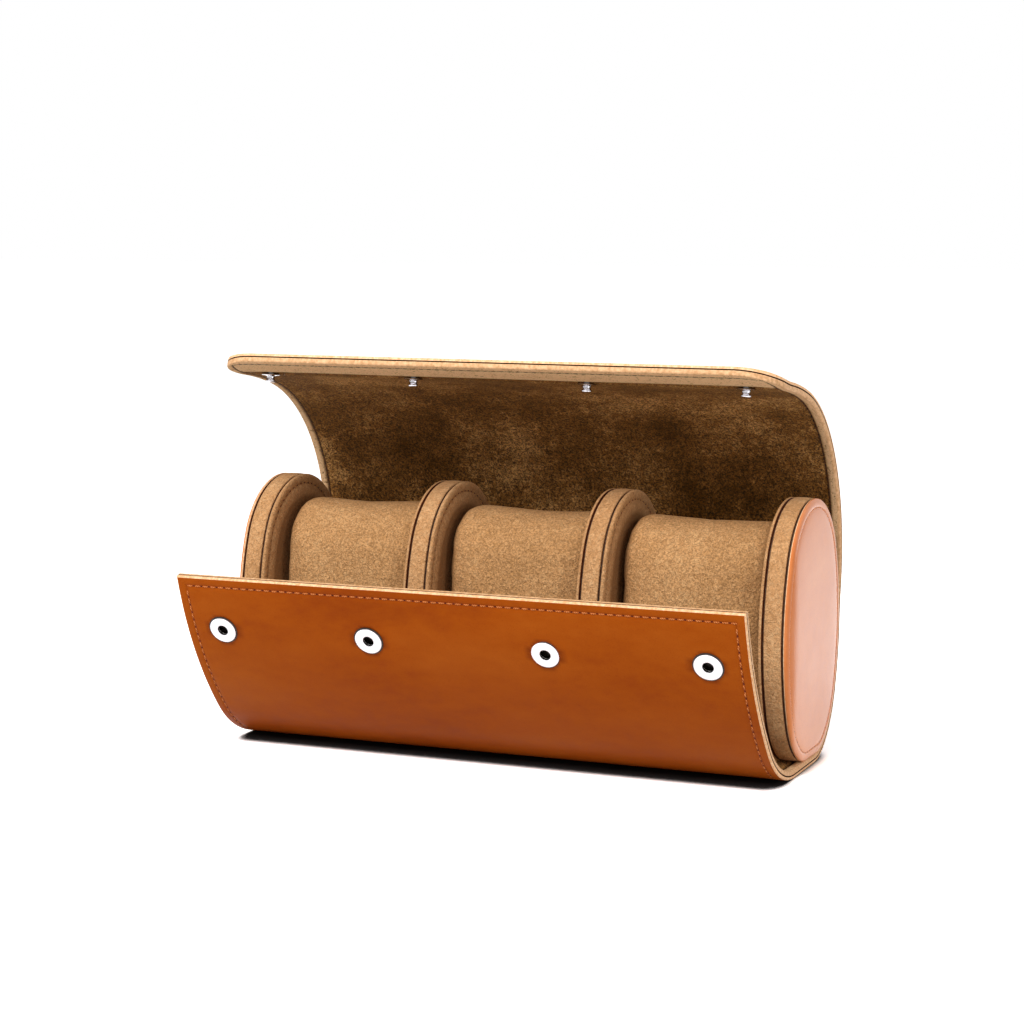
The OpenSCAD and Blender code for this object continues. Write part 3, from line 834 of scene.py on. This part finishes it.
def stitch_model(size, thread, hole_shade):
    """One stitch: a rounded length of thread, and a dark disc of painted shade for the needle
    hole that it goes into.
    """
    hole_radius = size[3]
    bpy.ops.mesh.primitive_uv_sphere_add(segments=8, ring_count=5, radius=1.0)
    stitch = bpy.context.object
    lie = read_points(stitch)[:, [2, 0, 1]]
    lie[:, 2] -= 0.5 * lie[:, 0] ** 2
    write_points(stitch, lie * np.array(size[:3]) / 2 * MM)
    dress(stitch, thread)
    bpy.ops.mesh.primitive_uv_sphere_add(segments=8, ring_count=4, radius=1.0)
    hole = bpy.context.object
    round_hole = read_points(hole) * np.array([hole_radius, hole_radius, 0.1])
    write_points(hole, (round_hole + np.array([STITCH_PITCH / 2, 0.0, -0.05])) * MM)
    dress(hole, hole_shade)
    stitch.select_set(True)
    bpy.context.view_layer.objects.active = stitch
    bpy.ops.object.join()
    smooth(stitch, 80)
    return stitch


def stitch_rows(first, last):
    """Middle and direction (x, s) of each stitch of the wrap whose s is from first to last."""
    places = []
    top, end = STITCH_IN, FOLD["end"] - STITCH_IN
    side = CASE_HALF - STITCH_IN
    for s in np.arange(top + STITCH_PITCH, end - STITCH_PITCH / 2, STITCH_PITCH):
        if first <= s < last:
            places += [(-side, s, 0.0, 1.0), (side, s, 0.0, 1.0)]
    for s in (top, end):
        if first <= s < last:
            for x in np.arange(-side + STITCH_PITCH / 2, side, STITCH_PITCH):
                places.append((x, s, 1.0, 0.0))
    return places


def wrap_stitches(name, first, last, layer):
    """Stitches on one side of a stretch of the wrap."""
    places = []
    for x, s, dx, ds in stitch_rows(first, last):
        inner = np.array([not layer] * 3)
        xs = np.array([x, x + dx * AHEAD, x + ds * AHEAD])
        ss = np.array([s, s + ds * AHEAD, s - dx * AHEAD])
        middle, ahead, beside = sheet_place(xs, ss, inner, layer)
        along = (ahead - middle) / np.linalg.norm(ahead - middle)
        up = np.cross(along, beside - middle)
        up /= np.linalg.norm(up)
        h = np.interp(s, WRAP.s, WRAP.h)
        out = np.array([0.0, math.sin(h), -math.cos(h)]) * (1 if layer else -1)
        up = up if up @ out > 0 else -up
        axes = np.column_stack([along, np.cross(up, along), up])
        places.append((middle + up * STITCH_OUT * MM, axes))
    if layer:
        model = stitch_model(LEATHER_STITCH, LEATHER_THREAD, NEEDLE_HOLE_SHADE)
    else:
        model = stitch_model(SUEDE_STITCH, SUEDE_THREAD, SEAM_SHADOW)
    return copies(name, model, places)


def fold(a, b, mark, before, after):
    """Where a sheet turns from body a, before a fold, to body b, after it."""
    return (a, b, WRAP.spot(FOLD[mark] + before), WRAP.spot(FOLD[mark] + after))


# The stretches of the wrap, each with one fold in it. A stretch has a name, its two ends,
# the panels that it stands for, and its fold.
FLAP_LOWER_MID = (FOLD["drop"] + FOLD["flap"]) / 2
BASE_MID = FOLD["flap"] + FLAP_REACH
LID_REAR_MID = (FOLD["lid"] + FOLD["crown"]) / 2
LID_TOP_MID = (FOLD["crown"] + FOLD["brow"]) / 2
LID_FRONT_MID = (FOLD["brow"] + FOLD["lip"]) / 2
STRETCHES = [
    ("flap_upper", 0.0, FLAP_LOWER_MID, ("flap_upper",),
     fold("flap_lower", "flap_upper", "drop", 10.0, -10.0)),
    ("flap_lower", FLAP_LOWER_MID, BASE_MID, ("flap_lower", "base"),
     fold("case_body", "flap_lower", "flap", 4.0, -6.0)),
    ("lid_rear", BASE_MID, LID_REAR_MID, ("lid_rear",),
     fold("case_body", "lid_rear", "lid", -4.0, 6.0)),
    ("lid_top", LID_REAR_MID, LID_TOP_MID, ("lid_top",),
     fold("lid_rear", "lid_top", "crown", -12.0, 12.0)),
    ("lid_front", LID_TOP_MID, LID_FRONT_MID, ("lid_front",),
     fold("lid_top", "lid_front", "brow", -11.0, 11.0)),
    ("lid_lip", LID_FRONT_MID, FOLD["end"], ("lid_lip",),
     fold("lid_front", "lid_lip", "lip", -4.5, 5.0)),
]


def make_wrap():
    """The leather, the lining and both rows of stitches of each stretch."""
    for name, first, last, panels, across in STRETCHES:
        ends = (first == 0.0, last == FOLD["end"])
        leather = wrap_sheet(name + "_skin", first, last, 1, *ends)
        settle(leather, across, [p + "_leather" for p in panels])
        lining = wrap_sheet(name + "_suede", first, last, 0, *ends)
        settle(lining, across,
               [p + "_" + k for p in panels for k in ("lining", "interlining")])
        settle(wrap_stitches(name + "_outer_stitches", first, last, 1), across)
        settle(wrap_stitches(name + "_inner_stitches", first, last, 0), across)


# --- Discs ---

DISC_COLUMNS = 200
DIVIDER_X = 31.85
BAND_HALF = 3.25
FACING = 1.6
CAP_BAND = (92.3, 98.8)

# Place of a row of stitches: along X, from the facing's back or from the middle of the case,
# and in from the rim
FACING_SEAM = (1.2, 3.3)
CAP_SEAM = (100.54, 3.0)

# How strong the polish on a cap's leather is, where it starts, and how far on it is full,
# towards the back
POLISH = 0.65
POLISH_FROM = -25.0
POLISH_OVER = 4.0


def disc_ring(inset, toward=1.0):
    """Points round a disc, drawn in by inset, then drawn towards its middle by toward."""
    s = np.linspace(0.0, DISC_GIRTH, DISC_COLUMNS + 1)
    y, z = DISC_LINE.at(s, -inset)
    return toward * y, DISC_Z + toward * (z - DISC_Z)


def disc_skin(name, rows, *materials):
    """A closed shell through rings round a disc. A ring is (x, inset) and, where it matters, how
    much darker it is painted, along a row of stitches and as painted shade where a pillow stands
    close, the material of the strip up to the next ring, and how far the ring is drawn towards
    the disc's middle, from 1 to 0."""
    rows = [tuple(ring) + (0.0, 0, 1.0)[len(ring) - 2:] for ring in rows]
    piece = flat_grid(name, DISC_COLUMNS + 1, len(rows))
    column, row, flat = grid_numbers(piece, DISC_COLUMNS + 1, len(rows))
    points = np.zeros_like(flat)
    for k, (x, inset, _, _, toward) in enumerate(rows):
        y, z = disc_ring(inset, toward)
        here = row == k
        points[here] = np.column_stack([np.full(here.sum(), x), y[column[here]],
                                        z[column[here]]])
    write_points(piece, points * MM)
    paint(piece, "seam_and_painted_shade", np.array([ring[2] for ring in rows])[row])
    piece.data.polygons.foreach_set("material_index", [
        rows[row[list(polygon.vertices)].min()][3] for polygon in piece.data.polygons])
    close_up(piece)
    smooth(piece, 50)
    dress(piece, *materials)
    return piece


def facing_rows(back, front):
    """Rings of a suede facing, from the middle of its hidden side to the middle of its face.
    The painted seam shadow is at its back, where it meets the rim band."""
    way = 1 if front > back else -1
    # Past the row of stitches the facing is painted darker, a painted shade where the pillow
    # stands close to it.
    profile = [(0.0, 12.0, 0.0, 0, 0.0), (0.0, 12.0), (0.0, 1.2, 0.0, 1), (0.1, 0.8, 0.0, 1),
               (0.4, 0.5, 0.0, 1), (0.52, 0.16), (0.7, 0.0), (0.95, 0.0), (1.2, 0.08),
               (1.4, 0.24), (1.56, 0.5), (1.66, 0.95), (1.7, 1.6, 0.1), (1.62, 2.3, 0.2),
               (1.4, 2.85, 0.25), (1.22, 3.1, 0.4), (1.14, 3.3, 0.5), (1.22, 3.5, 0.4),
               (1.42, 3.8, 0.25), (1.6, 4.5, 0.2), (1.66, 5.5, 0.2), (1.64, 7.0, 0.4),
               (1.62, 8.5, 0.95), (1.6, 12.0, 0.95), (1.6, 12.0, 0.9, 0, 0.5),
               (1.6, 12.0, 0.0, 0, 0.0)]
    return [(back + way * ring[0],) + ring[1:] for ring in profile]


def band_rows(left, right):
    """Rings of a rim band, round its whole section and back to the first, with a painted seam
    shadow at both its edges."""
    half = [(0.0, 0.9), (0.05, 0.8), (0.32, 0.5), (0.44, 0.14), (0.8, 0.0), (1.8, -0.1)]
    rows = [(left + x, inset, 0.0, 1 if x < 0.3 else 0) for x, inset in half]
    rows.append(((left + right) / 2, -0.12))
    rows += [(right - x, inset, 0.0, 1 if x <= 0.32 else 0) for x, inset in reversed(half)]
    return rows + [rows[0]]


def face_rows(sign):
    """Rings of a cap's padded leather face: a painted seam shadow, the cut edge, then the
    leather rolled over the rim and stitched down in a ring."""
    profile = [(98.85, 12.0, 0.0, 1, 0.0), (98.85, 12.0, 0.0, 1), (98.85, 1.2, 0.0, 1),
               (98.98, 0.7, 0.0, 1), (99.26, 0.4, 0.0, 2), (99.36, 0.06, 0.0, 2),
               (99.64, -0.02), (99.98, 0.08), (100.25, 0.3), (100.5, 0.75), (100.66, 1.4),
               (100.72, 2.0), (100.68, 2.6), (100.58, 2.75), (100.52, 3.0, 0.1),
               (100.6, 3.3), (100.76, 4.1), (100.92, 6.0), (101.04, 9.0), (101.12, 12.0),
               (101.17, 12.0, 0.0, 0, 0.7), (101.19, 12.0, 0.0, 0, 0.35),
               (101.2, 12.0, 0.0, 0, 0.0)]
    return [(sign * ring[0],) + ring[1:] for ring in profile]


def ring_stitches(name, x, inset, way, model):
    """A ring of stitches on a disc's face, which looks towards way along X."""
    count = int((DISC_GIRTH - 2 * math.pi * inset) / STITCH_PITCH)
    s = (np.arange(count) + 0.5) / count * DISC_GIRTH
    y, z = DISC_LINE.at(s, -inset)
    y2, z2 = DISC_LINE.at(s + AHEAD, -inset)
    places = []
    up = np.array([float(way), 0.0, 0.0])
    for k in range(count):
        along = np.array([0.0, y2[k] - y[k], z2[k] - z[k]])
        along /= np.linalg.norm(along)
        axes = np.column_stack([along, np.cross(up, along), up])
        places.append((np.array([x, y[k], z[k]]) * MM, axes))
    return copies(name, model, places)


def facing_stitches(name, back, way):
    """The stitches of a facing whose hidden side is at back, and which looks towards way."""
    out, inset = FACING_SEAM
    settle(ring_stitches(name, back + way * out, inset, way,
                         stitch_model(FACING_STITCH, FACING_THREAD, SEAM_SHADOW)), "case_body")


def make_disc_part(name, rows, slot, stands_for, *materials):
    """A skin of a disc, which rides on the case."""
    piece = disc_skin(name, rows, *materials)
    settle(piece, "case_body", stands_for)
    return piece


def make_discs():
    """The skins and stitches of the two end caps and the two dividers."""
    for side, sign in (("left", -1), ("right", 1)):
        inner, outer = (sign * x for x in CAP_BAND)
        make_disc_part(side + "_cap_inner_suede", facing_rows(inner, inner - sign * FACING),
                       "band_suede", [side + "_cap_facing"], BAND_SUEDE, SEAM_SHADOW)
        make_disc_part(side + "_cap_rim_suede", band_rows(*sorted((inner, outer))),
                       "band_suede", [side + "_cap_rim_band"], BAND_SUEDE, SEAM_SHADOW)
        face = make_disc_part(side + "_cap_padded_leather", face_rows(sign), "cap_leather",
                              [side + "_cap_leather_face"], PAINTED_LIGHT_CAP_LEATHER, SEAM_SHADOW, LEATHER_EDGE)
        rubbed = (read_points(face)[:, 1] / MM - POLISH_FROM) / POLISH_OVER
        paint(face, "polished", POLISH * np.clip(rubbed, 0.0, 1.0))
        facing_stitches(side + "_cap_inner_stitches", inner, -sign)
        settle(ring_stitches(side + "_cap_leather_stitches", sign * CAP_SEAM[0], CAP_SEAM[1],
                             sign, stitch_model(CAP_STITCH, PAINTED_LIGHT_CAP_THREAD, NEEDLE_HOLE_SHADE)),
               "case_body")
        middle = sign * DIVIDER_X
        make_disc_part(side + "_divider_rim_suede",
                       band_rows(middle - BAND_HALF, middle + BAND_HALF),
                       "band_suede", [side + "_divider_rim_band"], BAND_SUEDE, SEAM_SHADOW)
        for face, way in (("left", -1), ("right", 1)):
            back = middle + way * BAND_HALF
            name = f"{side}_divider_{face}"
            make_disc_part(name + "_suede", facing_rows(back, back + way * FACING),
                           "band_suede", [name + "_facing"], BAND_SUEDE, SEAM_SHADOW)
            facing_stitches(name + "_stitches", back, way)


# --- Pillows ---

# A pillow's section, half its depth by half its height, and the radius of its round ends
PILLOW_A = 21.0
PILLOW_B = 40.25
PILLOW_ROUND = 19.0
PILLOW_SEAT = 3.3
PILLOW_Z = PILLOW_SEAT + PILLOW_B

# Half its length, the round at its ends, the dip round its middle, and the pillows' spacing
PILLOW_HALF_L = 25.8
PILLOW_END = 5.0
PILLOW_DIP = 1.0
PILLOW_PITCH = 63.7
PILLOW_COLUMNS = 150

# Distances in from an end at which a pillow's grid has a line, and how many lines lie between
PILLOW_END_LINES = [0.0, 0.3, 0.8, 1.5, 2.4, 3.5, 5.0]
PILLOW_MIDDLE_LINES = 25

# A painted shade at a pillow's right end, where the divider beside it casts its shadow: how far
# in from the end, from which height down, and over which depth
DARK_IN = 9.0
DARK_FROM = 72.0
DARK_OVER = 22.0

CLOTH_FRAMES = 20


def pillow_line():
    """Outline of a pillow, from the middle of its back round to the same place."""
    radius = side_radius(PILLOW_A, PILLOW_B, PILLOW_ROUND)
    turn = side_turn(PILLOW_A, PILLOW_B, PILLOW_ROUND)
    quarter = [arc(radius, turn), arc(PILLOW_ROUND, 90 - turn)]
    return Line(*trace((PILLOW_A, PILLOW_Z), 90.0, (quarter + quarter[::-1]) * 2))


PILLOW_LINE = pillow_line()


def plump(piece, grow=10.0, voxel=0.02, most=0.007):
    """Fills the pillow with air, so that its cover stretches and puckers as a stuffed one
    does. It is done grow times as large, where the cloth's own sizes suit it. No point moves
    further than most, in metres at that size."""
    pick(piece)
    write_points(piece, read_points(piece) * grow)
    remesh = piece.modifiers.new("even_weave", "REMESH")
    remesh.mode = "VOXEL"
    remesh.voxel_size = voxel
    bpy.ops.object.modifier_apply(modifier="even_weave")
    before = read_points(piece)
    cloth = piece.modifiers.new("stuffing", "CLOTH")
    cloth.settings.use_pressure = True
    cloth.settings.uniform_pressure_force = 4.0
    cloth.settings.effector_weights.gravity = 0.0
    cloth.point_cache.frame_start = 1
    cloth.point_cache.frame_end = CLOTH_FRAMES
    for frame_number in range(1, CLOTH_FRAMES + 1):
        bpy.context.scene.frame_set(frame_number)
    bpy.ops.object.modifier_apply(modifier="stuffing")
    bpy.context.scene.frame_set(1)
    move = read_points(piece) - before
    length = np.linalg.norm(move, axis=1, keepdims=True)
    move *= np.minimum(1.0, most / np.maximum(length, 1e-9))
    write_points(piece, before + move)
    finer = piece.modifiers.new("finer", "SUBSURF")
    finer.levels = finer.render_levels = 1
    bpy.ops.object.modifier_apply(modifier="finer")
    write_points(piece, read_points(piece) / grow)


def pillow_rows():
    """Place along the pillow of each ring of its grid, and how far the ring is drawn towards
    the pillow's middle line, from 1 to 0."""
    left = [-PILLOW_HALF_L + e for e in PILLOW_END_LINES]
    middle = np.linspace(-PILLOW_HALF_L + 7, PILLOW_HALF_L - 7, PILLOW_MIDDLE_LINES)
    us = left + list(middle) + [-u for u in reversed(left)]
    return [(us[0], 0.0), (us[0], 0.5)] + [(u, 1.0) for u in us] + [(us[-1], 0.5), (us[-1], 0.0)]


def pillow_draw(u, turn, seed):
    """How far the cover lies inside the pillow's outline, at u along it and turn round it."""
    from_end = PILLOW_HALF_L - np.abs(u)
    k = np.clip(1 - from_end / PILLOW_END, 0, 1)
    gather = 0.16 * np.sin(23 * turn + 2.1 * seed) + 0.12 * np.sin(14 * turn + seed)
    sag = 0.3 * np.sin(3 * turn + u / 13 + seed) + 0.18 * np.sin(5 * turn - u / 7 + 2 * seed)
    return (0.5 + PILLOW_DIP * np.cos(np.pi / 2 * np.abs(u) / PILLOW_HALF_L) ** 2
            + PILLOW_END * (1 - np.sqrt(1 - k * k))
            + gather * np.exp(-from_end / 4.0) + sag * np.clip(from_end / 6.0, 0, 1))


def pillow_painted_shade(piece, x):
    """Paints shade on the cover: a painted shade at both ends, in the gaps beside the discs, and
    towards the foot of the right end, where the divider casts its shadow.
    """
    right, _, up = (read_points(piece) / MM).T
    right = right - x
    painted_gap_shade = 0.9 * np.exp(-((PILLOW_HALF_L - np.abs(right)) / 2.0) ** 2)
    dark = 0.5 * np.clip((right - PILLOW_HALF_L + DARK_IN) / DARK_IN, 0, 1)
    dark *= np.clip((DARK_FROM - up) / DARK_OVER, 0, 1)
    paint(piece, "seam_and_painted_shade", np.maximum(painted_gap_shade, dark))


def make_pillow(name, x, seed):
    """A suede pillow: crowned, drawn in at both ends, with the slack of a stuffed cover."""
    rows = pillow_rows()
    piece = flat_grid(name + "_cover", PILLOW_COLUMNS + 1, len(rows))
    column, row, _ = grid_numbers(piece, PILLOW_COLUMNS + 1, len(rows))
    u, toward = np.array(rows)[row].T
    draw = pillow_draw(u, 2 * math.pi * column / PILLOW_COLUMNS, seed)
    y, z = PILLOW_LINE.at(column / PILLOW_COLUMNS * PILLOW_LINE.s[-1], -draw)
    points = np.column_stack([u, toward * y, toward * (z - PILLOW_Z)])
    write_points(piece, points * MM)
    close_up(piece)
    plump(piece)
    write_points(piece, read_points(piece) + np.array([x, 0.0, PILLOW_Z]) * MM)
    pillow_painted_shade(piece, x)
    smooth(piece, 60)
    dress(piece, PILLOW_SUEDE)
    settle(piece, name, [name])


# --- Snaps ---

# Profiles of the turned parts as (radius, height), the height from the wrap's middle layer
RING_PROFILE = [(1.9, 0.9), (1.9, 1.86), (2.0, 1.97), (2.2, 2.02), (3.2, 2.04), (4.2, 2.02),
                (4.5, 1.97), (4.72, 1.84), (4.8, 1.62), (4.8, 1.2), (2.3, 1.2), (2.3, 0.9),
                (1.9, 0.9)]
BED_PROFILE = [(4.6, 1.3), (5.15, 1.3), (5.22, 1.52), (5.1, 1.62), (4.6, 1.68), (4.6, 1.3)]
CUP_PROFILE = [(0.0, -0.5), (2.3, -0.5), (2.3, 0.95), (2.55, 0.95), (2.55, -0.7), (0.0, -0.7)]
KNOB_PROFILE = [(0.0, 1.3), (3.2, 1.3), (3.25, 1.48), (3.1, 1.6), (2.7, 1.68), (2.0, 1.74),
                (1.6, 1.85), (1.36, 2.1), (1.3, 2.6), (1.36, 2.95), (1.58, 3.2), (1.66, 3.5),
                (1.6, 3.8), (1.38, 4.02), (1.05, 4.1), (0.8, 4.06), (0.62, 3.9), (0.55, 3.6),
                (0.0, 3.55)]


def lathe(profile, steps=64):
    """A ring or knob: a profile of (radius, height) drawn point by point from one corner of
    a plane, then spun round the Z axis."""
    bpy.ops.mesh.primitive_plane_add(size=1)
    piece = bpy.context.object
    with edit_mode():
        bpy.ops.mesh.select_mode(type="VERT")
        bpy.ops.mesh.select_all(action="SELECT")
        bpy.ops.mesh.merge(type="CENTER")
        bpy.ops.transform.translate(value=(profile[0][0] * MM, 0, profile[0][1] * MM))
        for (r0, h0), (r1, h1) in zip(profile, profile[1:]):
            bpy.ops.mesh.extrude_region_move(
                TRANSFORM_OT_translate={"value": ((r1 - r0) * MM, 0, (h1 - h0) * MM)})
        bpy.ops.mesh.select_all(action="SELECT")
        bpy.ops.mesh.spin(steps=steps, angle=2 * math.pi, center=(0, 0, 0), axis=(0, 0, 1))
    close_up(piece)
    return piece


def snap_places(s, side):
    """Frames of the snaps: side 1 looks out of the wrap, -1 looks into it."""
    h = float(np.interp(s, SHARP_WRAP.s, SHARP_WRAP.h))
    out = np.array([0.0, math.sin(h), -math.cos(h)]) * side
    along = np.array([1.0, 0.0, 0.0])
    axes = np.column_stack([along, np.cross(out, along), out])
    y, z = SHARP_WRAP.at(s)
    return [(np.array([x, y, z]) * MM, axes) for x in SNAP_X]


def snap_part(name, profile, places, metal):
    """A turned part, once for each snap."""
    part = copies(name, lathe(profile), places)
    smooth(part, 35)
    dress(part, metal)
    return part


def make_snaps():
    """The rings, the beds and the cups of the sockets, which are dark with painted shade, and
    the studs.
    """
    sockets = snap_places(SOCKET_BACK, 1)
    settle(snap_part("snap_socket_rings", RING_PROFILE, sockets, NICKEL),
           "flap_upper", ["snap_sockets"])
    settle(snap_part("snap_ring_shade_beds", BED_PROFILE, sockets, SOCKET_SHADE), "flap_upper")
    settle(snap_part("snap_socket_cups", CUP_PROFILE, sockets, SOCKET_SHADE),
           "flap_upper")
    settle(snap_part("snap_stud_knobs", KNOB_PROFILE, snap_places(FOLD["stud"], -1), NICKEL),
           "lid_front", ["snap_studs"])


# --- Floor and world ---

def seen_or_mirrored(tree):
    """1 for rays from the camera, and for those that metal or glass sends on."""
    path = add_node(tree, "ShaderNodeLightPath")
    level = path.outputs["Is Camera Ray"]
    for other in ("Is Glossy Ray", "Is Transmission Ray"):
        either = add_node(tree, "ShaderNodeMath", {"operation": "MAXIMUM"})
        feed(tree, either.inputs[0], level)
        feed(tree, either.inputs[1], path.outputs[other])
        level = either.outputs[0]
    return level


def mixed(tree, plain, shown):
    """The shader plain, or shown for the rays that are seen or mirrored."""
    mix = add_node(tree, "ShaderNodeMixShader")
    for socket, value in enumerate((seen_or_mirrored(tree), plain.outputs[0], shown.outputs[0])):
        feed(tree, mix.inputs[socket], value)
    return mix.outputs[0]


def make_floor():
    """A pale floor. The camera and polished metal see it white, with the case's shadow on it and
    a painted contact shade, darker where the floor's ambient occlusion is low; other rays find
    it duller, so that it doesn't light the case from below."""
    bpy.ops.mesh.primitive_plane_add(size=12, location=(0, 0, 0))
    floor = bpy.context.object
    floor.name = "floor"
    material = bpy.data.materials.new("floor_white")
    material.use_nodes = True
    tree = material.node_tree
    tree.nodes.clear()
    nearness = add_node(tree, "ShaderNodeAmbientOcclusion", Distance=FLOOR_SHADE_REACH * MM)
    contact = add_node(tree, "ShaderNodeValToRGB", Fac=nearness.outputs["AO"])
    stops = ((0.4, FLOOR_SHADE), (0.7, FLOOR_SEEN))
    for mark, (at, level) in zip(contact.color_ramp.elements, stops):
        mark.position = at
        mark.color = grey(level)
    shown = add_node(tree, "ShaderNodeBsdfDiffuse", Color=contact.outputs["Color"])
    dull = add_node(tree, "ShaderNodeBsdfDiffuse", Color=grey(FLOOR_DULL))
    add_node(tree, "ShaderNodeOutputMaterial", Surface=mixed(tree, dull, shown))
    floor.data.materials.append(material)


def make_world():
    """White all round to the camera and to polished metal, and dimmer as a light."""
    world = bpy.data.worlds.new("studio")
    bpy.context.scene.world = world
    world.use_nodes = True
    tree = world.node_tree
    tree.nodes.clear()
    skies = [add_node(tree, "ShaderNodeBackground", Color=grey(1.0), Strength=strength)
             for strength in (WORLD_LIGHT, WORLD_SEEN)]
    add_node(tree, "ShaderNodeOutputWorld", Surface=mixed(tree, *skies))


# --- The scene ---

make_camera()
make_world()
make_floor()
for lamp in LAMPS:
    make_lamp(*lamp)
make_wrap()
make_discs()
for k, pillow in enumerate(("left_pillow", "middle_pillow", "right_pillow")):
    make_pillow(pillow, (k - 1) * PILLOW_PITCH, k)
make_snaps()
for name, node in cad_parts.items():
    if name in ("snap_springs", "snap_washers", "snap_rivets"):
        dress(node, STEEL)
    elif name.endswith("pillow_core"):
        dress(node, FOAM)
    elif name.endswith("_core"):
        dress(node, BOARD)

bpy.context.scene.view_settings.view_transform = "Standard"
